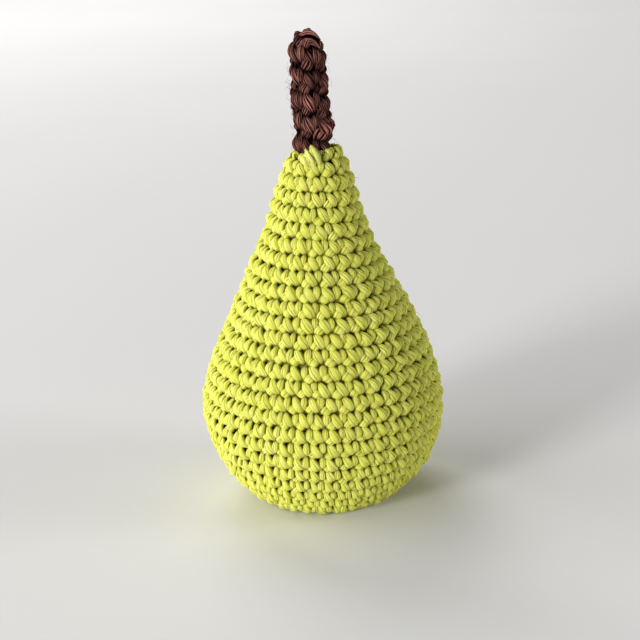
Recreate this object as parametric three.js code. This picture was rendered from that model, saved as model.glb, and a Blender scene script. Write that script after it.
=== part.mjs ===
// A crocheted toy pear: a stuffed cotton cover worked in rounds, with a crocheted stem sewn into its neck.
// Millimetres, +Z up. The origin is the middle of the flat base that the pear stands on.

import * as THREE from 'three';

// --- Driving dimensions -------------------------------------------------------------------------------

const BASE_RADIUS = 19.5;        // flat patch that the pear stands on
const BELLY_RADIUS = 46.3;       // widest place, at the crests of the rounds
const BELLY_HEIGHT = 38;
const BASE_FULLNESS = 12;        // how far the side runs on outwards before it turns up from the floor
const BELLY_FULLNESS = 21;       // how far below and
const SLOPE_FULLNESS = 22;       // above its widest place the side stays upright
const NECK_RADIUS = 15.6;        // where the long slope turns into the shoulder
const NECK_HEIGHT = 119;
const NECK_SLOPE = -0.22;        // change of radius with height at the neck
const NECK_RUN = 25;             // length below the neck that is all but straight
const SHOULDER_RUN = 8;          // and above it
const RIM_RADIUS = 7.8;          // last round, gathered around the stem
const RIM_FLAT = 1.5;            // its top is level for about this far
const BODY_HEIGHT = 137.6;

const ROUND_PITCH = 5.8;         // height of one crocheted round along the surface
const ROUND_RELIEF = 0.7;        // depth of the groove between two rounds
const CREST_START = 0.3;         // where the crest of a round starts and ends, in rounds
const CREST_END = 0.7;
const COVER_WALL = 4.6;          // a single crochet fabric is about two yarns thick
const RIM_BORE_RADIUS = 6.8;     // hole that the stem goes through
const RIM_BEVEL = 0.8;           // the rim rolls over into that hole
const RIM_DEPTH = 4;
const THROAT_DEPTH = 7;          // height over which that hole widens into the hollow
const HOLLOW_STEPS = 16;

const FILLING_EDGE = 1.5;        // the top edge of the filling is rounded off by this

const GAP = 0.3;                 // clearance between pieces that touch

const STEM_RADIUS = 6.7;
const STEM_FOOT_RADIUS = 6.2;    // squeezed by the neck
const STEM_FOOT_BEVEL = 1;
const STEM_SWELL = 1;            // above the rim it is back to its full width within this height
const STEM_TOP = 181;
const STEM_FOOT = 125;
const STEM_FOOT_X = 0.5;         // the foot is pushed in a little to the right of the middle
const STEM_PITCH = 8.3;          // its rounds are pulled taller than the cover's
const STEM_RELIEF = 0.65;
const STEM_BORE_RADIUS = 1.6;    // narrow hollow down the middle of the tube
const STEM_LEAN = THREE.MathUtils.degToRad(-1.9);
const CROWN_HEIGHT = 9;          // height of the dome that closes the stem
const CROWN_FULLNESS = 6;        // how much of that height stays nearly upright
const CROWN_FLAT = 3.2;          // how far out from the axis its top stays nearly level
const CROWN_STEPS = 6;

const STITCH_WIDTH = 5.8;        // the lime stitch that sews the stem to the rim
const STITCH_THICKNESS = 3.4;
const STITCH_SLANT = 2.4;        // how far its foot is to the right of its tip
const STITCH_OFFSET = -0.8;
const STITCH_FOOT = new THREE.Vector2(-13, 131.8);       // y and z of its foot, of its bend over the
const STITCH_BEND = new THREE.Vector2(-12.1, 137.7);     // shoulder and of its tip beside the stem
const STITCH_TIP = new THREE.Vector2(-7, 140.6);

const COVER_SIDES = 42;
const FILLING_SIDES = 32;
const STEM_SIDES = 20;
const LEAF_SIDES = 14;
const LEAF_RINGS = 12;

// --- Materials ----------------------------------------------------------------------------------------

const limeCotton = { color: 0xc4cf4e, roughness: 0.95, metalness: 0 };
const brownCotton = { color: 0x5e3229, roughness: 0.95, metalness: 0 };
const whiteFibre = { color: 0xf2f0ea, roughness: 1, metalness: 0 };

function namedMesh(name, geometry, finish) {
  const mesh = new THREE.Mesh(geometry, new THREE.MeshStandardMaterial(finish));
  mesh.name = name;
  return mesh;
}

// --- Outlines: x is the radius and y the height -------------------------------------------------------

const point = (radius, height) => new THREE.Vector2(radius, height);

// The pear's side, from the edge of the flat base to the rim, without the relief of its rounds.
function bodySide() {
  const slopeLength = Math.hypot(NECK_SLOPE, 1);
  const alongNeck = (distance) => point(
    NECK_RADIUS + (distance * NECK_SLOPE) / slopeLength,
    NECK_HEIGHT + distance / slopeLength,
  );
  const side = new THREE.CurvePath();
  side.add(new THREE.CubicBezierCurve(
    point(BASE_RADIUS, 0), point(BASE_RADIUS + BASE_FULLNESS, 0),
    point(BELLY_RADIUS, BELLY_HEIGHT - BELLY_FULLNESS), point(BELLY_RADIUS, BELLY_HEIGHT),
  ));
  side.add(new THREE.CubicBezierCurve(
    point(BELLY_RADIUS, BELLY_HEIGHT), point(BELLY_RADIUS, BELLY_HEIGHT + SLOPE_FULLNESS),
    alongNeck(-NECK_RUN), alongNeck(0),
  ));
  side.add(new THREE.CubicBezierCurve(
    alongNeck(0), alongNeck(SHOULDER_RUN),
    point(RIM_RADIUS + RIM_FLAT, BODY_HEIGHT), point(RIM_RADIUS, BODY_HEIGHT),
  ));
  return side;
}

// The point at fraction t of a side, moved inwards by depth at right angles to it.
function inset(side, t, depth) {
  const place = side.getPointAt(t);
  const tangent = side.getTangentAt(t);
  return point(place.x - depth * tangent.y, place.y + depth * tangent.x);
}

// Crests and grooves of the rounds along a side: a groove, the two shoulders of a crest, a groove, ...
function roundedRows(side, pitch, relief) {
  const rounds = Math.round(side.getLength() / pitch);
  const outline = [];
  for (let round = 0; round < rounds; round += 1) {
    outline.push(inset(side, round / rounds, round === 0 ? 0 : relief));
    outline.push(inset(side, (round + CREST_START) / rounds, 0));
    outline.push(inset(side, (round + CREST_END) / rounds, 0));
  }
  outline.push(side.getPointAt(1));
  return outline;
}

// The hollow of the cover, from the mouth of its bore down to the axis.
function hollowOutline(side, wall) {
  const outline = [];
  const last = side.getLength() - THROAT_DEPTH - wall;
  for (let step = 0; step <= HOLLOW_STEPS; step += 1) {
    const t = (last / side.getLength()) * (1 - step / HOLLOW_STEPS);
    outline.push(inset(side, t, wall));
  }
  outline.push(point(0, wall));
  return outline;
}

// --- Pieces -------------------------------------------------------------------------------------------

function cover() {
  const side = bodySide();
  const rim = [
    point(RIM_BORE_RADIUS, BODY_HEIGHT - RIM_BEVEL),
    point(RIM_BORE_RADIUS, BODY_HEIGHT - RIM_DEPTH),
  ];
  const outline = [
    point(0, 0),
    ...roundedRows(side, ROUND_PITCH, ROUND_RELIEF),
    ...rim,
    ...hollowOutline(side, COVER_WALL),
  ];
  return namedMesh('cover', new THREE.LatheGeometry(outline, COVER_SIDES), limeCotton);
}

// Loose fibre that fills the cover up to the foot of the stem, with a rounded top edge.
function filling() {
  const hollow = hollowOutline(bodySide(), COVER_WALL + GAP).reverse();
  const top = STEM_FOOT - GAP;
  const eaves = top - FILLING_EDGE;
  const above = hollow.findIndex((place) => place.y > eaves);
  const [last, next] = [hollow[above - 1], hollow[above]];
  const edge = last.clone().lerp(next, (eaves - last.y) / (next.y - last.y));
  const outline = [
    ...hollow.slice(0, above),
    edge,
    point(edge.x - FILLING_EDGE, top),
    point(0, top),
  ];
  return namedMesh('filling', new THREE.LatheGeometry(outline, FILLING_SIDES), whiteFibre);
}

// A tube of six-stitch rounds, closed over the top and open at its foot. Heights are from its foot.
function stemOutline() {
  const tall = STEM_TOP - STEM_FOOT;
  const inNeck = BODY_HEIGHT - STEM_FOOT;
  const eaves = tall - CROWN_HEIGHT;
  const wall = new THREE.LineCurve(point(STEM_RADIUS, inNeck + STEM_SWELL), point(STEM_RADIUS, eaves));
  const crown = new THREE.CubicBezierCurve(
    point(STEM_RADIUS, eaves), point(STEM_RADIUS, eaves + CROWN_FULLNESS),
    point(CROWN_FLAT, tall), point(0, tall),
  );
  const hollowTop = tall - STEM_RADIUS;
  return [
    point(STEM_BORE_RADIUS, 0),
    point(STEM_FOOT_RADIUS - STEM_FOOT_BEVEL, 0),
    point(STEM_FOOT_RADIUS, STEM_FOOT_BEVEL),
    point(STEM_FOOT_RADIUS, inNeck),
    ...roundedRows(wall, STEM_PITCH, STEM_RELIEF),
    ...crown.getPoints(CROWN_STEPS).slice(1),
    point(0, hollowTop),
    point(STEM_BORE_RADIUS, hollowTop - STEM_BORE_RADIUS),
    point(STEM_BORE_RADIUS, 0),
  ];
}

function stem() {
  const mesh = namedMesh('stem', new THREE.LatheGeometry(stemOutline(), STEM_SIDES), brownCotton);
  mesh.rotation.x = Math.PI / 2;
  const leaning = new THREE.Group();
  leaning.add(mesh);
  leaning.position.set(STEM_FOOT_X, 0, STEM_FOOT);
  leaning.rotation.y = STEM_LEAN;
  return leaning;
}

// A leaf of yarn along a path in the plane x = 0, whose ends are drawn to points. It slants across that
// plane from its foot to its tip.
function yarnLeaf(path, width, thickness, slant) {
  const leaf = new THREE.SphereGeometry(1, LEAF_SIDES, LEAF_RINGS);
  const vertex = leaf.attributes.position;
  for (let i = 0; i < vertex.count; i += 1) {
    const t = (1 + vertex.getY(i)) / 2;
    const across = (vertex.getX(i) * width) / 2 + slant * (0.5 - t);
    const outwards = (vertex.getZ(i) * thickness) / 2;
    const middle = path.getPointAt(t);
    const tangent = path.getTangentAt(t);
    vertex.setXYZ(i, across, middle.x - outwards * tangent.y, middle.y + outwards * tangent.x);
  }
  return leaf;
}

// It rises in front of the shoulder and bends over the rim to the stem.
function sewingStitch() {
  const path = new THREE.QuadraticBezierCurve(STITCH_FOOT, STITCH_BEND, STITCH_TIP);
  const leaf = yarnLeaf(path, STITCH_WIDTH, STITCH_THICKNESS, STITCH_SLANT);
  leaf.translate(STITCH_OFFSET, 0, 0);
  return namedMesh('sewing_stitch', leaf, limeCotton);
}

// --- The pear -----------------------------------------------------------------------------------------

function standUp(mesh) {
  mesh.rotation.x = Math.PI / 2;
  return mesh;
}

const pear = new THREE.Group();
pear.add(standUp(cover()), standUp(filling()), stem(), sewingStitch());

export default pear;
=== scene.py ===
"""A crocheted toy pear, laid stitch by stitch in lime and brown cotton yarn, standing on a pale floor."""

import math
from collections import namedtuple

import bpy
import numpy as np
from mathutils import Euler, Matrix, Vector, noise


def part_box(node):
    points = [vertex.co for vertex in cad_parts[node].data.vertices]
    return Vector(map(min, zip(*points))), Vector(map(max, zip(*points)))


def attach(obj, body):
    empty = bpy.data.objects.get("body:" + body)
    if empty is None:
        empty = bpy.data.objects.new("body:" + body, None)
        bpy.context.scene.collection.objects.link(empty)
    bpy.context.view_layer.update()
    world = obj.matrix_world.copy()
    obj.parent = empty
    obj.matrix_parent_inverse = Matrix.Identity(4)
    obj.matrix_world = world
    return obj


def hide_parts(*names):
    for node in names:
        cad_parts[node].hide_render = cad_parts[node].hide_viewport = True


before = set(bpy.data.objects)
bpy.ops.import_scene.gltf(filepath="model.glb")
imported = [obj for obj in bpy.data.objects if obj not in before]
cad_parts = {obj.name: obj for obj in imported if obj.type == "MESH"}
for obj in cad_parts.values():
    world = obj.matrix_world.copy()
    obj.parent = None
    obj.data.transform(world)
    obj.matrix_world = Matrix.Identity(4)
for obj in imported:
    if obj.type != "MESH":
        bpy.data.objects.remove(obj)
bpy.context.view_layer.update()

MM = 0.001
RANDOM = np.random.default_rng(31)


# --- Driving sizes, in metres ------------------------------------------------------------------------

cover_low, cover_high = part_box("cover")
stem_low, stem_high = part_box("stem")
filling_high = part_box("filling")[1]

BODY_HEIGHT = cover_high.z
BELLY_RADIUS = (cover_high.x - cover_low.x) / 2
BASE_RADIUS = 19.5 * MM
BELLY_HEIGHT = 38 * MM
BASE_FULLNESS = 12 * MM              # how far the side runs on outwards before it turns up
BELLY_FULLNESS = 21 * MM             # how far below and
SLOPE_FULLNESS = 22 * MM             # above its widest place the side stays upright
NECK_RADIUS = 15.6 * MM
NECK_HEIGHT = 119 * MM
NECK_SLOPE = -0.22                   # change of radius with height at the neck
NECK_RUN = 25 * MM                   # length below the neck that is all but straight
SHOULDER_RUN = 8 * MM                # and above it
RIM_RADIUS = 7.8 * MM
RIM_FLAT = 1.5 * MM                  # the top of the rim is level for about this far
LIP_RADIUS = 1.6 * MM                # and rolls inwards round this
LIP_TURN = math.radians(150)
MOUTH_TILT = 0.12                    # the mouth of the neck is lower on the left, where the spiral ends
SWAY = (                             # heights and how far the axis is to the right there, in millimetres
    (0, 0), (20, 0.5), (38, -0.5), (72, 0.5), (95, -0.5), (120, 0.2), (138, 0.8),
)

ROUND_PITCH = 5.77 * MM              # height of one round along the surface
RING_RADIUS = 1.0 * MM               # the first round is worked into a ring this small
STITCH_WIDTH = 5.3 * MM              # room along its round of a stitch whose yarn is as thick as listed
YARN_DEPTH = 1.9 * MM                # from the crests of the rounds down to the middle of the fabric
COLUMN_DRIFT = 0.13                  # stitches stand this much to the right of those below, in stitches
COVER_START = math.radians(61)       # the spiral starts to the right of the front and ends near the front
COVER_TURNS = 30.2
COVER_ROUNDS = (                     # stitches in each round
    6, 12, 18, 24, 30, 36, 42,
    48, 48, 48, 48, 48, 48, 48, 45, 42,
    36, 36, 36, 30, 30, 24, 24, 24,
    21, 18, 18, 16, 15, 12, 12,
)
COVER_BANDS = (                      # pieces of the cover, with their first and last rounds
    ("cover_base", 1, 8),
    ("cover_belly_low", 9, 12),
    ("cover_belly_high", 13, 16),
    ("cover_slope", 17, 22),
    ("cover_neck", 23, 31),
)

STEM_RADIUS = 6.7 * MM
STEM_FOOT = stem_low.z
STEM_FOOT_X = 0.9 * MM
STEM_LEAN = math.radians(-1.9)
STEM_SINK = 0.1 * MM                 # the yarn of the stem lies this much deeper than its solid
STEM_PITCH = 8.3 * MM
STEM_START = math.radians(74)
STEM_TURNS = 5.9
STEM_ROUNDS = (6,) * 6
CROWN_HEIGHT = 9 * MM                # height of the dome over the stem
CROWN_SHOULDER = 3 * MM              # height in which its side turns inwards
CROWN_EDGE = 3.5 * MM                # its top is level up to this far inside its wall
STEM_BULK = 0.92                     # how fat its stitches are, and how much fatter one is: the one on
KNOT_BULK = 0.65                     # the right, where the stem meets the neck
KNOT_ANGLE = math.radians(75)
KNOT_WIDTH = 0.5                     # in radians round the stem
KNOT_HEIGHT = 143 * MM
KNOT_RISE = 3 * MM

ON_TOP = 3 * MM                      # height over the fabric of yarn that lies across the stitches
AXIS_GAP = 0.05 * MM                 # yarn comes no nearer to the axis than this
STRAND_SPREAD = 0.52                 # the outer strands of a leaf lie this far aside, in thicknesses of it
STRAND_SHARE = 0.52                  # thickness of a strand, as a share of the leaf's

FIBRE_RADIUS = 0.05 * MM
FIBRE_LENGTHS = (1.5, 4.0)           # shortest and longest, in millimetres
FIBRE_FOOT = 0.6 * MM                # loose fibres start this far outside the crests of the rounds
FIBRE_LIFTS = (0.3, 1.7)             # and curl out by this much more, in millimetres
COVER_FIBRES = 24                    # loose fibres in each band of the cover above the base
STEM_FIBRES = 140

BACK_OUTER = 0.3 * MM                # the back of the fabric reaches from this far outside its middle
BACK_INNER = 1.9 * MM                # to this far inside it
BACK_RELIEF = 0.35 * MM              # and swells by this much at each round
FILLING_DEPTH = 3.2 * MM             # from the middle of the fabric in to the fibre


# --- Shapes of the yarn in one stitch ----------------------------------------------------------------
# Each row is (right, up, lift, thickness): right and up in stitches from where the stitch enters the
# round below, lift from the middle of the fabric and thickness (a radius) in millimetres.

RIGHT_LEG = (
    (0.09, -0.14, -0.8, 0.35),
    (0.11, 0.08, 0.8, 0.80),
    (0.14, 0.31, 1.5, 1.40),
    (0.15, 0.57, 1.4, 1.42),
    (0.16, 0.84, 0.3, 0.85),
    (0.17, 1.10, -1.2, 0.25),
)
LEFT_LEG = (
    (-0.03, -0.22, -0.7, 0.80),
    (-0.08, -0.03, 0.6, 1.45),
    (-0.20, 0.21, 1.4, 1.95),
    (-0.35, 0.47, 1.5, 1.80),
    (-0.51, 0.75, 0.5, 1.15),
    (-0.66, 1.02, -1.1, 0.35),
)
WORKED_LOOP = (
    (-0.75, -0.26, -0.9, 0.75),
    (-0.67, -0.11, 0.6, 1.55),
    (-0.54, 0.06, 1.2, 1.85),
    (-0.40, 0.24, 0.9, 1.60),
    (-0.26, 0.42, -0.5, 0.70),
)
FRONT_LOOP = (
    (-0.64, 0.76, -0.9, 0.70),
    (-0.56, 0.89, 0.6, 1.55),
    (-0.44, 1.06, 1.2, 1.85),
    (-0.31, 1.24, 0.9, 1.60),
    (-0.16, 1.42, -0.5, 0.70),
)
BACK_LOOP = (
    (0.05, 1.10, -0.5, 0.90),
    (-0.20, 1.28, 0.0, 1.30),
    (-0.45, 1.28, 0.0, 1.30),
    (-0.70, 1.10, -0.5, 0.90),
)

# How much a leaf's place, lift and thickness vary from stitch to stitch, in the same units.
SLACK_RIGHT = 0.035
SLACK_UP = 0.03
SLACK_LIFT = 0.14
SLACK_THICKNESS = 0.05
LEAST_ROOM = 0.7                     # leaves get no thinner or thicker than for this much room, in
MOST_ROOM = 1.3                      # shares of STITCH_WIDTH
ROOM_POWER = 0.7                     # and thickness follows this power of the room

# The sewing stitch's three leaves, in millimetres: where their tips lie beside the stem and their feet
# in front of the rim, and the share of the way, lift and thickness at points along each.
SEWING_TIPS = ((-0.5, -7.6, 139.9), (-2.5, -8.1, 138.6), (-3.9, -8.4, 136.8))
SEWING_FEET = ((2.3, -11.2, 133.9), (0.3, -11.8, 133.0), (-2.0, -11.8, 133.6))
SEWING_LEAF = (
    (-0.12, -1.6, 0.7),
    (0.1, 0.0, 1.5),
    (0.35, 0.9, 1.9),
    (0.6, 1.2, 2.0),
    (0.85, 0.4, 1.7),
    (1.1, -1.4, 0.8),
)
SEWING_OUTWARDS = (0.0, -0.93, 0.36)

# Leaves that arch over the tip of the stem: how far back each lies and its shift to the right, in
# millimetres, and how thick it is along its span, in shares of its thickest place.
CLOSING_ARCHES = ((-3.6, -0.1), (-0.9, 0.3), (1.9, 0.3))
CLOSING_TAPER = (0.35, 0.75, 0.95, 1.0, 0.95, 0.75, 0.35)


# --- Surfaces that the stitches lie on ---------------------------------------------------------------

def bezier(start, leave, arrive, end, steps=80):
    """Points of a cubic curve, without its last one."""
    t = np.linspace(0, 1, steps, endpoint=False)[:, None]
    corners = [np.array(corner, float) for corner in (start, leave, arrive, end)]
    weights = ((1 - t) ** 3, 3 * t * (1 - t) ** 2, 3 * t**2 * (1 - t), t**3)
    return sum(weight * corner for weight, corner in zip(weights, corners))


def along_neck(distance):
    """The point of the neck's straight stretch at a distance above its middle."""
    length = math.hypot(NECK_SLOPE, 1)
    return (NECK_RADIUS + distance * NECK_SLOPE / length, NECK_HEIGHT + distance / length)


def pear_outline():
    """Radius and height from the middle of the base, over the belly and neck, to inside the rim."""
    flat = np.linspace(0, BASE_RADIUS, 30, endpoint=False)
    edge = (BASE_RADIUS, 0)
    belly = (BELLY_RADIUS, BELLY_HEIGHT)
    neck = along_neck(0)
    rim = (RIM_RADIUS, BODY_HEIGHT)
    turn = np.linspace(0, LIP_TURN, 16)
    lip = np.stack([rim[0] - LIP_RADIUS * np.sin(turn), rim[1] - LIP_RADIUS * (1 - np.cos(turn))], 1)
    return np.concatenate([
        np.stack([flat, np.zeros_like(flat)], 1),
        bezier(edge, (BASE_RADIUS + BASE_FULLNESS, 0), (belly[0], belly[1] - BELLY_FULLNESS), belly),
        bezier(belly, (belly[0], belly[1] + SLOPE_FULLNESS), along_neck(-NECK_RUN), neck),
        bezier(neck, along_neck(SHOULDER_RUN), (rim[0] + RIM_FLAT, rim[1]), rim),
        lip,
    ])


def stem_outline():
    """Radius and height from the foot of the stem, up its wall and over its dome to the tip."""
    top = stem_high.z
    radius = STEM_RADIUS - STEM_SINK
    shoulder = (radius, top - CROWN_HEIGHT)
    wall = np.linspace(STEM_FOOT, shoulder[1], 60, endpoint=False)
    dome = bezier(shoulder, (radius, top - CROWN_SHOULDER), (radius - CROWN_EDGE, top), (0, top))
    return np.concatenate([np.stack([np.full_like(wall, radius), wall], 1), dome, [(0, top)]])


class Skin:
    """A turned surface that stitches are laid on. Places on it are a distance along its outline and an
    angle round the axis, from the front towards the right."""

    def __init__(self, outline, settle=None):
        self.outline = outline
        self.settle = settle
        steps = np.diff(outline, axis=0)
        self.reach = np.concatenate([[0], np.cumsum(np.hypot(*steps.T))])
        tangent = np.gradient(outline, self.reach, axis=0)
        self.tangent = tangent / np.hypot(*tangent.T)[:, None]

    def follow(self, values, distance):
        return np.stack([np.interp(distance, self.reach, column) for column in values.T], -1)

    def radius_at(self, distance):
        return np.interp(distance, self.reach, self.outline[:, 0])

    def place(self, distance, angle, lift):
        """Points at a lift from the surface, and the outward directions there."""
        radius, height = self.follow(self.outline, distance).T
        along = self.follow(self.tangent, distance)
        out = np.stack([along[:, 1], -along[:, 0]], 1)
        radius = np.maximum(radius + lift * out[:, 0], AXIS_GAP)
        height = height + lift * out[:, 1]
        points = np.stack([radius * np.sin(angle), -radius * np.cos(angle), height], 1)
        outwards = np.stack([out[:, 0] * np.sin(angle), -out[:, 0] * np.cos(angle), out[:, 1]], 1)
        return (self.settle(points), outwards) if self.settle else (points, outwards)


def sway(points):
    """A stuffed body is never quite straight: its axis wanders a little from side to side."""
    heights, shifts = np.array(SWAY).T * MM
    moved = points.copy()
    moved[:, 0] += np.interp(points[:, 2], heights, shifts)
    near_mouth = np.clip((points[:, 2] - NECK_HEIGHT) / (BODY_HEIGHT - NECK_HEIGHT), 0, 1)
    moved[:, 2] += MOUTH_TILT * points[:, 0] * near_mouth
    return moved


def lean(points):
    """The stem leans a little to the left of upright."""
    turned = np.array(Euler((0, STEM_LEAN, 0)).to_matrix())
    foot = np.array((0, 0, STEM_FOOT))
    return (points - foot) @ turned.T + foot + np.array((STEM_FOOT_X, 0, 0))


# --- The work: which stitch stands on which ----------------------------------------------------------

Stitch = namedtuple("Stitch", "round angle base height width ends")
Leaf = namedtuple("Leaf", "points outwards thickness tint height")


def parents(child, below, above):
    """First and last stitch of the round below that a stitch is worked into."""
    first = child * below // above
    last = max(first, (child + 1) * below // above - 1)
    return first, last


def even_out(places, advance):
    """Neighbouring stitches share the room between them, so a gap is spread over a few of them."""
    passes, share = 40, 0.5
    for _ in range(passes):
        before = np.concatenate([[places[-1] - advance], places[:-1]])
        after = np.concatenate([places[1:], [places[0] + advance]])
        places = places + share * ((before + after) / 2 - places)
    return places


def round_places(below, advance, count):
    """How far round the spiral each stitch of the next round stands. Where two are worked into one
    stitch, they stand a quarter of a stitch to each side of it."""
    if below is None:
        return advance * (np.arange(count) + 0.5) / count
    step = advance / len(below)
    tops = below + advance
    feet = np.array([parents(i, len(below), count) for i in range(count)])
    twins = np.array([np.sum(feet[:, 0] == first) > 1 for first in feet[:, 0]])
    second = np.concatenate([[False], feet[1:, 0] == feet[:-1, 0]])
    aside = np.where(twins, np.where(second, 0.25, -0.25), 0.0) * step
    return even_out(tops[feet].mean(axis=1) + aside, advance)


def work_rounds(rounds, pitch, start, turns):
    """Every stitch of a piece that is worked in one spiral from a small ring."""
    stitches = []
    below = None
    for number, count in enumerate(rounds):
        advance = math.tau - COLUMN_DRIFT * math.tau / count
        places = round_places(below, advance, count)
        neighbours = np.concatenate([[places[-1] - advance], places, [places[0] + advance]])
        widths = np.gradient(neighbours)[1:-1]
        for place, width in zip(places, widths):
            if place > turns * math.tau:
                break
            base = RING_RADIUS + pitch * place / math.tau
            foot = base if number else RING_RADIUS
            last_round = place + math.tau > turns * math.tau
            stitches.append(Stitch(number + 1, start - place, foot, base + pitch - foot, width, last_round))
        below = places
    return stitches


def leaf(skin, stitch, shape, bulk):
    """One leaf of yarn of a stitch."""
    right, up, lift, thickness = np.array(shape).T
    slack = RANDOM.normal(0, 1, 4)
    right = right + SLACK_RIGHT * slack[0]
    up = up + SLACK_UP * slack[1]
    height = (lift * bulk + SLACK_LIFT * slack[2]) * MM
    thickness = thickness * bulk * (1 + SLACK_THICKNESS * slack[3]) * MM
    room = stitch.width * skin.radius_at(stitch.base + stitch.height / 2) / STITCH_WIDTH
    thickness = thickness * np.clip(room, LEAST_ROOM, MOST_ROOM) ** ROOM_POWER
    distance = stitch.base + up * stitch.height
    angle = stitch.angle + right * stitch.width
    points, outwards = skin.place(distance, angle, height - YARN_DEPTH)
    return Leaf(points, outwards, thickness, RANDOM.uniform(0, 1), height)


def leaves_of(skin, stitch, bulk=1.0):
    """The leaves of yarn that one stitch shows."""
    shapes = [RIGHT_LEG, LEFT_LEG]
    if stitch.round > 1:
        shapes.append(WORKED_LOOP)
    if stitch.ends:
        shapes += [FRONT_LOOP, BACK_LOOP]
    return [leaf(skin, stitch, shape, bulk) for shape in shapes]


def part_strands(whole):
    """A loosely spun leaf opens into three strands that run together again at its ends."""
    tangent = np.gradient(whole.points, axis=0)
    across = np.cross(whole.outwards, tangent)
    across /= np.linalg.norm(across, axis=1)[:, None]
    swell = np.sin(np.linspace(0.06, 0.94, len(whole.points)) * math.pi)[:, None]
    strands = []
    for place in (-1, 0, 1):
        aside = place * STRAND_SPREAD + RANDOM.normal(0, 0.08)
        lift = RANDOM.normal(0.2, 0.12) - 0.4 * place**2
        shift = whole.thickness[:, None] * swell * (across * aside + whole.outwards * lift)
        share = STRAND_SHARE * RANDOM.uniform(0.85, 1.2)
        thickness = whole.thickness * share * (0.6 + 0.4 * swell[:, 0])
        tint = RANDOM.uniform(0, 1)
        strands.append(Leaf(whole.points + shift, whole.outwards, thickness, tint, whole.height))
    return strands


def loose_fibres(skin, count, lowest, highest):
    """Fine fibres that have worked loose and stand off the yarn in short curls."""
    draw = np.random.default_rng(round(lowest / MM))
    t = np.linspace(0, 1, 6)
    thickness = FIBRE_RADIUS * (1 - 0.6 * t)
    height = np.full(len(t), ON_TOP)
    fibres = []
    for _ in range(count):
        heading = draw.uniform(0, math.tau) + draw.normal(0, 1.2) * t
        step = draw.uniform(*FIBRE_LENGTHS) * MM / len(t)
        distance = draw.uniform(lowest, highest) + step * np.cumsum(np.cos(heading))
        aside = step * np.cumsum(np.sin(heading))
        curl = draw.uniform(*FIBRE_LIFTS) * MM * np.sin(t * draw.uniform(1.2, 2.4))
        angle = draw.uniform(0, math.tau) + aside / skin.radius_at(distance)
        points, outwards = skin.place(distance, angle, FIBRE_FOOT + curl)
        fibres.append(Leaf(points, outwards, thickness, draw.uniform(0, 1), height))
    return fibres


# --- Node helpers ------------------------------------------------------------------------------------

def fill_socket(tree, socket, value):
    """Links a socket to the output given, or sets it to the plain value given."""
    if isinstance(value, bpy.types.NodeSocket):
        tree.links.new(value, socket)
    else:
        socket.default_value = value


def add_node(tree, kind, inputs=None, **settings):
    node = tree.nodes.new(kind)
    for name, value in settings.items():
        setattr(node, name, value)
    for name, value in (inputs or {}).items():
        fill_socket(tree, node.inputs[name], value)
    return node


def math_node(tree, operation, first, second=0.0):
    node = add_node(tree, "ShaderNodeMath", {0: first, 1: second}, operation=operation)
    return node.outputs[0]


def plus(tree, first, second):
    return math_node(tree, "ADD", first, second)


def minus(tree, first, second):
    return math_node(tree, "SUBTRACT", first, second)


def times(tree, first, second):
    return math_node(tree, "MULTIPLY", first, second)


def read_attribute(tree, name, kind="FLOAT"):
    node = add_node(tree, "GeometryNodeInputNamedAttribute", {"Name": name}, data_type=kind)
    return node.outputs["Attribute"]


def store_attribute(tree, geometry, name, value):
    node = add_node(
        tree, "GeometryNodeStoreNamedAttribute",
        {"Geometry": geometry, "Name": name, "Value": value}, data_type="FLOAT", domain="POINT",
    )
    return node.outputs["Geometry"]


# --- The sweep that lays plied yarn along every leaf -------------------------------------------------

LEAF_RINGS = 10
LEAF_PLIES = 7                       # plies round a whole leaf
STRAND_PLIES = 5                     # and round one strand of a leaf that is parted into strands
SMALLEST_PLY = 0.01                  # below this the ply attribute marks the groove between two plies


def yarn_profile(tree, sides, ply_depth, flatness, bunching):
    """Section of the yarn: ridges of its plies, closer together where it faces outwards."""
    circle = add_node(tree, "GeometryNodeCurvePrimitiveCircle", {"Resolution": sides, "Radius": 1.0})
    index = add_node(tree, "GeometryNodeInputIndex").outputs[0]
    even = math_node(tree, "DIVIDE", times(tree, index, math.tau), sides)
    turned = minus(tree, even, times(tree, math_node(tree, "SINE", even), bunching))
    outwards = math_node(tree, "COSINE", turned)
    sideways = math_node(tree, "SINE", turned)
    groove = math_node(tree, "MODULO", index, 2.0)
    radius = minus(tree, 1.0, times(tree, groove, ply_depth))
    place = add_node(tree, "ShaderNodeCombineXYZ", {
        "X": times(tree, times(tree, outwards, radius), flatness),
        "Y": times(tree, sideways, radius),
    })
    section = add_node(tree, "GeometryNodeSetPosition", {
        "Geometry": circle.outputs["Curve"], "Position": place.outputs[0],
    }).outputs[0]
    marks = {
        "ply": minus(tree, 1.0, groove),
        "around": math_node(tree, "DIVIDE", index, sides),
        "open": outwards,
        "sideways": sideways,
    }
    for name, value in marks.items():
        section = store_attribute(tree, section, name, value)
    return section


def sweep_inputs(tree):
    """Named inputs of the yarn sweep, and its output."""
    sockets = (
        ("Leaves", "NodeSocketGeometry", None),
        ("Rings", "NodeSocketInt", LEAF_RINGS),
        ("Sides", "NodeSocketInt", 2 * LEAF_PLIES),
        ("Ply depth", "NodeSocketFloat", 0.1),
        ("Flatness", "NodeSocketFloat", 0.9),
        ("Bunching", "NodeSocketFloat", 0.3),
        ("Yarn", "NodeSocketMaterial", None),
    )
    for name, kind, value in sockets:
        socket = tree.interface.new_socket(name, in_out="INPUT", socket_type=kind)
        if value is not None:
            socket.default_value = value
    tree.interface.new_socket("Stitches", in_out="OUTPUT", socket_type="NodeSocketGeometry")
    return add_node(tree, "NodeGroupInput").outputs


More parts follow.
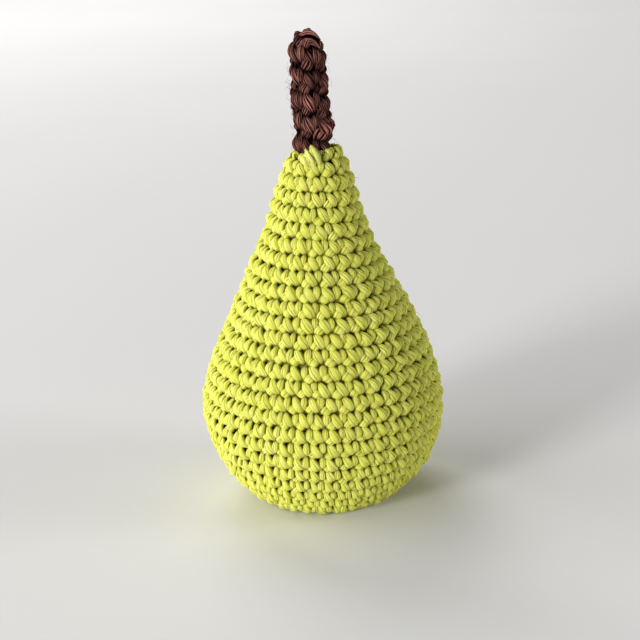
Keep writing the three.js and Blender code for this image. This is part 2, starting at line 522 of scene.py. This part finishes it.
def smooth_path(tree, leaves, rings):
    """Smooth curves through the points of the leaves, which face outwards from the fabric."""
    curves = add_node(tree, "GeometryNodeMeshToCurve", {"Mesh": leaves})
    smooth = add_node(
        tree, "GeometryNodeCurveSplineType", {"Curve": curves.outputs[0]}, spline_type="CATMULL_ROM",
    )
    even = add_node(tree, "GeometryNodeResampleCurve", {"Curve": smooth.outputs[0], "Count": rings})
    factor = add_node(tree, "GeometryNodeSplineParameter").outputs["Factor"]
    marked = store_attribute(tree, even.outputs[0], "along", factor)
    facing = add_node(tree, "GeometryNodeSetCurveNormal", {
        "Curve": marked, "Normal": read_attribute(tree, "facing", "FLOAT_VECTOR"),
    }, mode="FREE")
    return facing.outputs[0]


def yarn_sweep_tree():
    """Sweeps the section of the yarn along every leaf, with a crease in each groove between plies."""
    tree = bpy.data.node_groups.new("yarn_sweep", "GeometryNodeTree")
    given = sweep_inputs(tree)
    swept = add_node(tree, "GeometryNodeCurveToMesh", {
        "Curve": smooth_path(tree, given["Leaves"], given["Rings"]),
        "Profile Curve": yarn_profile(
            tree, given["Sides"], given["Ply depth"], given["Flatness"], given["Bunching"],
        ),
        "Scale": read_attribute(tree, "thickness"), "Fill Caps": True,
    })
    groove = add_node(tree, "FunctionNodeCompare", {
        "A": read_attribute(tree, "ply"), "B": SMALLEST_PLY,
    }, data_type="FLOAT", operation="LESS_THAN")
    creased = add_node(tree, "GeometryNodeSetShadeSmooth", {
        "Geometry": swept.outputs[0], "Selection": groove.outputs[0], "Shade Smooth": False,
    }, domain="EDGE")
    real = add_node(tree, "GeometryNodeRealizeInstances", {"Geometry": creased.outputs[0]})
    dressed = add_node(tree, "GeometryNodeSetMaterial", {
        "Geometry": real.outputs[0], "Material": given["Yarn"],
    })
    add_node(tree, "NodeGroupOutput", {"Stitches": dressed.outputs[0]})
    return tree


def set_modifier(modifier, **values):
    """Sets the named inputs of a node tree by their identifiers."""
    named = {item.name: item.identifier for item in modifier.node_group.interface.items_tree
             if item.item_type == "SOCKET" and item.in_out == "INPUT"}
    for name, value in values.items():
        modifier[named[name.replace("_", " ")]] = value


def leaf_lines(name, leaves):
    """A mesh of loose lines, one for each leaf, with what the sweep needs at each point."""
    points = np.concatenate([item.points for item in leaves])
    counts = [len(item.points) for item in leaves]
    ends = np.cumsum(counts)
    edges = [(i, i + 1) for count, end in zip(counts, ends) for i in range(end - count, end - 1)]
    mesh = bpy.data.meshes.new(name)
    mesh.from_pydata(points.tolist(), edges, [])
    facing = np.concatenate([item.outwards for item in leaves])
    mesh.attributes.new("facing", "FLOAT_VECTOR", "POINT").data.foreach_set("vector", facing.ravel())
    values = {
        "thickness": np.concatenate([item.thickness for item in leaves]),
        "tint": np.repeat([item.tint for item in leaves], counts),
        "height": np.concatenate([item.height for item in leaves]) / MM,
    }
    for key, value in values.items():
        mesh.attributes.new(key, "FLOAT", "POINT").data.foreach_set("value", value)
    return mesh


def press_flat(mesh):
    """Yarn that the toy stands on is pressed flat against the floor, never through it."""
    soft = 0.7 * MM
    points = np.empty(len(mesh.vertices) * 3)
    mesh.vertices.foreach_get("co", points)
    heights = points[2::3]
    low = heights < soft
    heights[low] = soft * np.exp((heights[low] - soft) / soft)
    mesh.vertices.foreach_set("co", points)


def pack_leaf_maps(mesh, leaf_count, sides):
    """A flat map with a cell of its own for each leaf: around it across the cell, along it up the cell.
    The caps of its two ends lie side by side below it."""
    side_margin, foot_margin, head_margin = 0.06, 0.16, 0.06
    cap_radius, cap_height = 0.05, 0.07
    cells = math.ceil(math.sqrt(leaf_count))
    corner_vertex = np.empty(len(mesh.loops), int)
    mesh.loops.foreach_get("vertex_index", corner_vertex)
    corners_of = np.empty(len(mesh.polygons), int)
    mesh.polygons.foreach_get("loop_total", corners_of)
    face = np.repeat(np.arange(len(corners_of)), corners_of)
    item, inside = np.divmod(corner_vertex, LEAF_RINGS * sides)
    ring, side = np.divmod(inside, sides)
    wraps = np.zeros(len(corners_of), bool)
    np.logical_or.at(wraps, face, side == sides - 1)
    across = np.where(wraps[face] & (side == 0), sides, side) / sides
    u = side_margin + (1 - 2 * side_margin) * across
    v = foot_margin + (1 - foot_margin - head_margin) * ring / (LEAF_RINGS - 1)
    cap = corners_of[face] == sides
    turn = math.tau * side / sides
    u = np.where(cap, np.where(ring == 0, 0.25, 0.75) + cap_radius * np.cos(turn), u)
    v = np.where(cap, cap_height + cap_radius * np.sin(turn), v)
    flat = np.stack([(item % cells + u) / cells, (item // cells + v) / cells], 1)
    layer = mesh.uv_layers.new(name="OFBake")
    layer.data.foreach_set("uv", flat.ravel())


def lay_yarn(name, leaves, yarn, plies, **settings):
    """Turns leaves into one plain mesh of swept yarn."""
    sides = 2 * plies
    rough = bpy.data.objects.new(name + "_lines", leaf_lines(name + "_lines", leaves))
    bpy.context.scene.collection.objects.link(rough)
    modifier = rough.modifiers.new("sweep", "NODES")
    modifier.node_group = YARN_SWEEP
    set_modifier(modifier, Rings=LEAF_RINGS, Sides=sides, Yarn=yarn, **settings)
    evaluated = rough.evaluated_get(bpy.context.evaluated_depsgraph_get())
    mesh = bpy.data.meshes.new_from_object(evaluated)
    mesh.name = name
    press_flat(mesh)
    pack_leaf_maps(mesh, len(leaves), sides)
    bpy.data.objects.remove(rough)
    piece = bpy.data.objects.new(name, mesh)
    bpy.context.scene.collection.objects.link(piece)
    return piece


def finish_piece(piece, slot, *nodes):
    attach(piece, "root")
    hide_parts(*nodes)


# --- Materials ---------------------------------------------------------------------------------------

# Linear colours from crevices between leaves to crests of plies; crevice and groove are painted shade, crest
# a painted highlight.
YarnColours = namedtuple("YarnColours", "crevice groove body crest")

LIME = YarnColours((0.03, 0.03, 0.0001), (0.34, 0.35, 0.001), (0.68, 0.69, 0.07), (0.80, 0.80, 0.34))
LIME_TAIL = YarnColours((0.20, 0.21, 0.004), (0.50, 0.51, 0.02), (0.74, 0.75, 0.15), (0.85, 0.85, 0.42))
BROWN = YarnColours(
    (0.0006, 0.0001, 0.0001), (0.003, 0.0005, 0.0004), (0.042, 0.0068, 0.0054), (1.0, 0.44, 0.36),
)
# The backs of the fabric are darker copies of the yarn colours: painted shade in the hollows behind the
# stitches.
LIME_BACK_SHADED = (0.25, 0.25, 0.003)
BROWN_BACK_SHADED = (0.003, 0.001, 0.001)
WHITE_FIBRE = (0.82, 0.81, 0.78)
PALE_FLOOR = (0.80, 0.79, 0.78)
PARTING_TONE = (0.30, 0.30, 0.03, 1)     # painted shade: yarn is multiplied by this in the line where its plies part


def start_material(name):
    material = bpy.data.materials.new(name)
    material.use_nodes = True
    material.node_tree.nodes.clear()
    return material, material.node_tree


def colour_ramp(tree, factor, stops):
    node = add_node(tree, "ShaderNodeValToRGB", {"Fac": factor})
    ramp = node.color_ramp
    while len(ramp.elements) < len(stops):
        ramp.elements.new(0.5)
    for element, (position, colour) in zip(ramp.elements, stops):
        element.position = position
        element.color = (*colour, 1)
    return node.outputs["Color"]


def shader_attribute(tree, name):
    return add_node(tree, "ShaderNodeAttribute", attribute_name=name).outputs["Fac"]


def noise_texture(tree, place, scale, detail, roughness=0.5):
    return add_node(tree, "ShaderNodeTexNoise", {
        "Vector": place, "Scale": scale, "Detail": detail, "Roughness": roughness,
    }).outputs["Fac"]


def fade(tree, value, start, end, at_start, at_end):
    """Goes from at_start to at_end while the value goes from start to end."""
    return add_node(tree, "ShaderNodeMapRange", {
        "Value": value, "From Min": start, "From Max": end, "To Min": at_start, "To Max": at_end,
    }).outputs[0]


def mixed(tree, blend, factor, first, second):
    node = add_node(tree, "ShaderNodeMix", data_type="RGBA", blend_type=blend)
    fill_socket(tree, node.inputs["Factor"], factor)
    fill_socket(tree, node.inputs[6], first)
    fill_socket(tree, node.inputs[7], second)
    return node.outputs[2]


def yarn_fibres(tree, tint, fibre_count):
    """Fine fibres that run along a leaf and twist a little round it."""
    along = shader_attribute(tree, "along")
    around = shader_attribute(tree, "around")
    lines = add_node(tree, "ShaderNodeCombineXYZ", {
        "X": plus(tree, times(tree, around, fibre_count), times(tree, along, 3.0)),
        "Y": times(tree, along, 2.0),
        "Z": times(tree, tint, 90.0),
    })
    return noise_texture(tree, lines.outputs[0], 1.0, 3.0, 0.6)


def yarn_paleness(tree, tint, fibres, patches):
    """From 0 in the grooves to 1 on crests: plies and fibres together, for painted shade in the grooves and
    a painted highlight on the crests, the ply shading fainter in places.
    """
    ply_shading_strength = times(tree, fade(tree, patches, 0.35, 0.65, 0.2, 0.9), plus(tree, tint, 0.5))
    ridge = times(tree, minus(tree, shader_attribute(tree, "ply"), 0.5), ply_shading_strength)
    together = plus(tree, times(tree, ridge, 0.75), times(tree, fibres, 1.1))
    return minus(tree, together, 0.03)


def parting(tree, tint, patches):
    """Share of shadow in the line along which the plies of a leaf part, at a different place in each."""
    chance = math_node(tree, "FRACT", times(tree, tint, 7.3))
    place = times(tree, minus(tree, chance, 0.5), 1.3)
    wander = times(tree, minus(tree, patches, 0.5), 1.2)
    aside = minus(tree, shader_attribute(tree, "sideways"), plus(tree, place, wander))
    return fade(tree, math_node(tree, "ABSOLUTE", aside), 0.02, 0.12, 0.8, 0.0)


def shadowed(tree, colour, colours, shade_from, shade_to):
    """Paints shade on the flanks of a leaf, its underside and its sunken ends."""
    open_side = shader_attribute(tree, "open")
    height = shader_attribute(tree, "height")
    flank = fade(tree, open_side, 0.3, 0.95, 0.55, 0.0)
    beside = fade(tree, open_side, -0.1, 0.68, 0.98, 0.0)
    deep = fade(tree, height, shade_from, shade_to, 0.95, 0.0)
    colour = mixed(tree, "MIX", flank, colour, (*colours.groove, 1))
    colour = mixed(tree, "MIX", beside, colour, (*colours.crevice, 1))
    return mixed(tree, "MIX", deep, colour, (*colours.crevice, 1))


def yarn_material(name, colours, middle, fibre_count, shade_from, shade_to):
    """Matt plied cotton with painted shade between its plies and a painted highlight on their crests, with
    fine fibres along it. The body colour lies at the share middle of the way from grooves to crests. Painted
    shade darkens yarn from the height shade_to down to shade_from, in millimetres over the middle of the
    fabric."""
    material, tree = start_material(name)
    tint = shader_attribute(tree, "tint")
    place = add_node(tree, "ShaderNodeTexCoord").outputs["Object"]
    fibres = yarn_fibres(tree, tint, fibre_count)
    fuzz = noise_texture(tree, place, 1800.0, 2.0, 0.7)
    patches = noise_texture(tree, place, 120.0, 2.0)
    paleness = yarn_paleness(tree, tint, fibres, patches)
    # the ramp paints shade in the grooves and a highlight on the crests of the plies
    stops = ((0.0, colours.groove), (middle, colours.body), (1.0, colours.crest))
    colour = shadowed(tree, colour_ramp(tree, paleness, stops), colours, shade_from, shade_to)
    colour = mixed(tree, "MULTIPLY", parting(tree, tint, patches), colour, PARTING_TONE)
    shade = plus(tree, plus(tree, times(tree, tint, 0.10), times(tree, patches, 0.22)), 0.84)
    tone = add_node(tree, "ShaderNodeCombineColor", {"Red": shade, "Green": shade, "Blue": shade})
    bump = add_node(tree, "ShaderNodeBump", {
        "Height": plus(tree, times(tree, fibres, 0.8), times(tree, fuzz, 0.35)),
        "Strength": 0.55, "Distance": 0.35 * MM,
    })
    shader = add_node(tree, "ShaderNodeBsdfPrincipled", {
        "Base Color": mixed(tree, "MULTIPLY", 1.0, colour, tone.outputs[0]),
        "Roughness": fade(tree, fibres, 0.0, 1.0, 0.78, 0.98),
        "Normal": bump.outputs[0], "Specular IOR Level": 0.0,
    })
    add_node(tree, "ShaderNodeOutputMaterial", {"Surface": shader.outputs[0]})
    return material


def plain_material(name, colour, variation, scale, roughness):
    """A matt surface with slight cloudy variation and a fine tooth."""
    material, tree = start_material(name)
    place = add_node(tree, "ShaderNodeTexCoord").outputs["Object"]
    cloud = noise_texture(tree, place, scale, 4.0)
    dark = tuple(c * (1 - variation) for c in colour)
    bump = add_node(tree, "ShaderNodeBump", {"Height": cloud, "Strength": 0.2, "Distance": 0.3 * MM})
    shader = add_node(tree, "ShaderNodeBsdfPrincipled", {
        "Base Color": colour_ramp(tree, cloud, ((0.3, dark), (0.7, colour))),
        "Roughness": roughness, "Normal": bump.outputs[0],
    })
    add_node(tree, "ShaderNodeOutputMaterial", {"Surface": shader.outputs[0]})
    return material


# --- Turned pieces behind the stitches ---------------------------------------------------------------

def turned_mesh(name, outline, sides=96):
    """A closed body turned round the upright axis. The outline runs from the axis back to the axis, or
    closes on itself."""
    nothing = 1e-6
    on_axis = outline[:, 0] < nothing
    angles = np.arange(sides) * math.tau / sides
    points, rings = [], []
    for (radius, height), pole in zip(outline, on_axis):
        start = len(points)
        if pole:
            points.append((0, 0, height))
            rings.append([start] * sides)
        else:
            points.extend((radius * math.sin(a), -radius * math.cos(a), height) for a in angles)
            rings.append(list(range(start, start + sides)))
    closes = not (on_axis[0] and on_axis[-1])
    pairs = list(zip(rings, rings[1:])) + ([(rings[-1], rings[0])] if closes else [])
    faces = []
    for low, high in pairs:
        for i in range(sides):
            j = (i + 1) % sides
            corners = [low[i], low[j], high[j], high[i]]
            faces.append(list(dict.fromkeys(corners)))
    mesh = bpy.data.meshes.new(name)
    mesh.from_pydata(points, [], faces)
    mesh.polygons.foreach_set("use_smooth", [True] * len(mesh.polygons))
    return mesh


def add_piece(name, mesh, finish):
    mesh.materials.append(finish)
    piece = bpy.data.objects.new(name, mesh)
    bpy.context.scene.collection.objects.link(piece)
    return piece


def inset_outline(skin, stations, depth):
    """Radius and height at a depth under stations along the surface."""
    radius, height = skin.follow(skin.outline, stations).T
    along = skin.follow(skin.tangent, stations)
    return np.stack([radius - depth * along[:, 1], height + depth * along[:, 0]], 1)


def inside_of_cover(yarn):
    """The back of the fabric, which closes the gaps between the stitches."""
    skin = Skin(pear_outline())
    stations = np.linspace(0, skin.reach[-1] - 10 * MM, 170)
    rounds = np.cos(stations / ROUND_PITCH * math.tau) * BACK_RELIEF
    outer = inset_outline(skin, stations, YARN_DEPTH - BACK_OUTER + rounds)
    inner = inset_outline(skin, stations, YARN_DEPTH + BACK_INNER + rounds)
    outline = np.concatenate([outer, inner[::-1]])
    outline[:, 0] = np.maximum(outline[:, 0], 0)
    outline[[0, -1], 0] = 0
    return add_piece("cover_inside", turned_mesh("cover_inside", outline), yarn)


def inside_of_stem(yarn):
    """The back of the stem's tube, squeezed until its hollow is all but closed."""
    top = stem_high.z - 3.4 * MM
    outer = STEM_RADIUS - 3.2 * MM
    inner = STEM_RADIUS - 4.6 * MM
    hollow_top = top - 2 * outer
    dome = np.linspace(0, math.pi / 2, 12)
    crown = np.stack([outer * np.sin(dome), top - outer * (1 - np.cos(dome))], 1)
    wall = np.array([(outer, STEM_FOOT), (inner, STEM_FOOT), (inner, hollow_top), (0, hollow_top)])
    mesh = turned_mesh("stem_inside", np.concatenate([crown, wall])[::-1], 32)
    points = np.array([vertex.co for vertex in mesh.vertices])
    mesh.vertices.foreach_set("co", lean(points).ravel())
    return add_piece("stem_inside", mesh, yarn)


# --- Making the pear ---------------------------------------------------------------------------------

def make_cover(yarn, back):
    skin = Skin(pear_outline(), settle=sway)
    stitches = work_rounds(COVER_ROUNDS, ROUND_PITCH, COVER_START, COVER_TURNS)
    for name, first, last in COVER_BANDS:
        band = [stitch for stitch in stitches if first <= stitch.round <= last]
        leaves = [item for stitch in band for item in leaves_of(skin, stitch)]
        if first > 1:
            leaves += loose_fibres(skin, COVER_FIBRES, ROUND_PITCH * first, ROUND_PITCH * last)
        piece = lay_yarn(name, leaves, yarn, LEAF_PLIES, Ply_depth=0.11, Flatness=0.8, Bunching=0.35)
        finish_piece(piece, "lime_yarn", "cover")
    # the back of the fabric is in darker yarn, painted shade for the gaps between the stitches
    finish_piece(inside_of_cover(back), "lime_yarn", "cover")


def stem_bulk(stitch):
    """How fat a stitch of the stem is: one on the right stands out, where the stem meets the neck."""
    aside = math.remainder(stitch.angle - KNOT_ANGLE, math.tau)
    above = STEM_FOOT + stitch.base - KNOT_HEIGHT
    return STEM_BULK + KNOT_BULK * math.exp(-(aside / KNOT_WIDTH) ** 2 - (above / KNOT_RISE) ** 2)


def closing_leaves():
    """Yarn that arches over the tip of the stem, where its last round is drawn shut."""
    span, drop, thickest = 4.8 * MM, 3.6 * MM, 1.8 * MM
    crest = stem_high.z + 0.8 * MM - thickest
    across = np.linspace(-1, 1, len(CLOSING_TAPER))
    thickness = np.array(CLOSING_TAPER) * thickest
    height = np.full(len(across), ON_TOP)
    leaves = []
    for back, shift in CLOSING_ARCHES:
        x = across * span + shift * MM
        y = (back - 1.4 * across) * MM
        z = crest - drop * (across - 0.15) ** 2 - 0.22 * back**2 * MM
        points = np.stack([x, y, z], 1)
        outwards = np.stack([x, y, np.full(len(across), 5 * MM)], 1)
        outwards /= np.linalg.norm(outwards, axis=1)[:, None]
        leaves.append(Leaf(lean(points), outwards, thickness, RANDOM.uniform(0, 1), height))
    return leaves


def make_stem(yarn, back):
    skin = Skin(stem_outline(), settle=lean)
    stitches = work_rounds(STEM_ROUNDS, STEM_PITCH, STEM_START, STEM_TURNS)
    leaves = [item for stitch in stitches for item in leaves_of(skin, stitch, stem_bulk(stitch))]
    leaves += closing_leaves()
    strands = [strand for whole in leaves for strand in part_strands(whole)]
    strands += loose_fibres(skin, STEM_FIBRES, 2 * STEM_RADIUS, skin.reach[-1] - 2 * STEM_RADIUS)
    piece = lay_yarn(
        "stem_yarn", strands, yarn, STRAND_PLIES, Ply_depth=0.08, Flatness=0.9, Bunching=0.25,
    )
    finish_piece(piece, "brown_yarn", "stem")
    # the back of the stem is in near-black yarn, painted shade for the gaps between its stitches
    finish_piece(inside_of_stem(back), "brown_yarn", "stem")


def make_sewing_stitch(yarn):
    """The end of the lime yarn, drawn up over the rim and fastened in front of the stem."""
    share, lift, thickness = np.array(SEWING_LEAF).T
    outwards = np.tile(SEWING_OUTWARDS, (len(share), 1))
    leaves = []
    for tip, foot in zip(np.array(SEWING_TIPS), np.array(SEWING_FEET)):
        points = (tip + (foot - tip) * share[:, None] + outwards * lift[:, None]) * MM
        height = np.full(len(share), ON_TOP)
        leaves.append(Leaf(points, outwards, thickness * MM, RANDOM.uniform(0, 1), height))
    strands = [strand for whole in leaves for strand in part_strands(whole)]
    piece = lay_yarn(
        "sewing_stitch_yarn", strands, yarn, STRAND_PLIES, Ply_depth=0.16, Flatness=0.9, Bunching=0.3,
    )
    finish_piece(piece, "lime_yarn", "sewing_stitch")


def make_filling(fibre):
    """Loose fibre, which swells and dips a little under the fabric."""
    skin = Skin(pear_outline())
    depth = YARN_DEPTH + FILLING_DEPTH
    side = inset_outline(skin, np.linspace(0, skin.reach[-1], 400), depth)
    side = side[(side[:, 1] < filling_high.z) & (side[:, 0] > 0)][::5]
    outline = np.concatenate([[(0, depth)], side, [(0, filling_high.z)]])
    mesh = turned_mesh("filling_fibre", outline, 72)
    for vertex in mesh.vertices:
        lump = noise.fractal(vertex.co * 90, 1.0, 2.0, 3)
        middle = Vector((0, 0, vertex.co.z))
        vertex.co = middle + (vertex.co - middle) * (0.985 + 0.02 * lump)
    piece = add_piece("filling_fibre", mesh, fibre)
    finish_piece(piece, "fibre_filling", "filling")


# --- Stage -------------------------------------------------------------------------------------------

CAMERA_ELEVATION = math.radians(18.72)
CAMERA_ROLL = math.radians(-2.43)
CAMERA_DISTANCE = 0.503
CAMERA_LENS = 73.1                   # in millimetres
CAMERA_AIM = Vector((-0.0001, 0, 0.0704))
LIGHT_TARGET = (0, 0, 0.07)
SKY_SEEN = 0.76                      # the sky shows this bright behind the floor
SKY_LIGHT = 0.07                     # and lights the pear this little, so that crevices stay dark


def make_floor():
    """A round floor that reaches further back than forwards, so that it ends short of the lamps in front."""
    radius, back, corners = 2.0, 0.9, 96
    mesh = bpy.data.meshes.new("floor")
    turns = [math.tau * i / corners for i in range(corners)]
    rim = [(radius * math.cos(turn), back + radius * math.sin(turn), 0) for turn in turns]
    mesh.from_pydata(rim, [], [tuple(range(corners))])
    floor = add_piece("floor", mesh, plain_material("pale_floor", PALE_FLOOR, 0.03, 2.0, 0.9))


def make_light(name, place, target, size, power):
    data = bpy.data.lights.new(name, "AREA")
    data.shape = "SQUARE"
    data.size = size
    data.energy = power
    light = bpy.data.objects.new(name, data)
    light.location = place
    light.rotation_euler = (Vector(target) - Vector(place)).to_track_quat("-Z", "Y").to_euler()
    bpy.context.scene.collection.objects.link(light)


def make_world():
    world = bpy.data.worlds.new("studio")
    world.use_nodes = True
    tree = world.node_tree
    background = tree.nodes["Background"]
    background.inputs["Color"].default_value = (0.95, 0.97, 1.0, 1)
    seen = add_node(tree, "ShaderNodeLightPath").outputs["Is Camera Ray"]
    strength = plus(tree, times(tree, seen, SKY_SEEN - SKY_LIGHT), SKY_LIGHT)
    tree.links.new(strength, background.inputs["Strength"])
    bpy.context.scene.world = world


def make_camera():
    data = bpy.data.cameras.new("camera")
    data.sensor_width = 36
    data.lens = CAMERA_LENS
    camera = bpy.data.objects.new("camera", data)
    back = Vector((0, -math.cos(CAMERA_ELEVATION), math.sin(CAMERA_ELEVATION)))
    camera.location = CAMERA_AIM + back * CAMERA_DISTANCE
    level = Euler((math.pi / 2 - CAMERA_ELEVATION, 0, 0)).to_matrix()
    rolled = level @ Euler((0, 0, CAMERA_ROLL)).to_matrix()
    camera.rotation_euler = rolled.to_euler()
    bpy.context.scene.collection.objects.link(camera)
    bpy.context.scene.camera = camera


# --- The scene ---------------------------------------------------------------------------------------

YARN_SWEEP = yarn_sweep_tree()

lime = yarn_material("lime_cotton", LIME, 0.38, 15.0, -0.33, 0.62)
lime_tail = yarn_material("lime_cotton_tail", LIME_TAIL, 0.38, 15.0, -0.2, 0.8)
brown = yarn_material("brown_cotton", BROWN, 0.41, 9.0, 0.4, 2.2)
lime_back_shaded = plain_material("lime_cotton_back_shaded", LIME_BACK_SHADED, 0.3, 900.0, 0.95)
brown_back_shaded = plain_material("brown_cotton_back_shaded", BROWN_BACK_SHADED, 0.3, 900.0, 0.95)
fibre = plain_material("white_fibre", WHITE_FIBRE, 0.1, 400.0, 1.0)

make_camera()
make_world()
make_floor()
make_light("window", (-2.1, -2.0, 0.7), LIGHT_TARGET, 0.8, 73)
make_light("side_window", (-2.1, -0.4, 1.2), LIGHT_TARGET, 3.0, 46)
make_light("pale_wall", (2.1, -0.4, 0.6), LIGHT_TARGET, 0.8, 19)
make_light("backdrop", (-0.8, 2.4, 2.2), (-0.6, 2.6, 0), 2.0, 66)
make_cover(lime, lime_back_shaded)
make_stem(brown, brown_back_shaded)
make_sewing_stitch(lime_tail)
make_filling(fibre)

scene = bpy.context.scene
scene.view_settings.view_transform = "Standard"
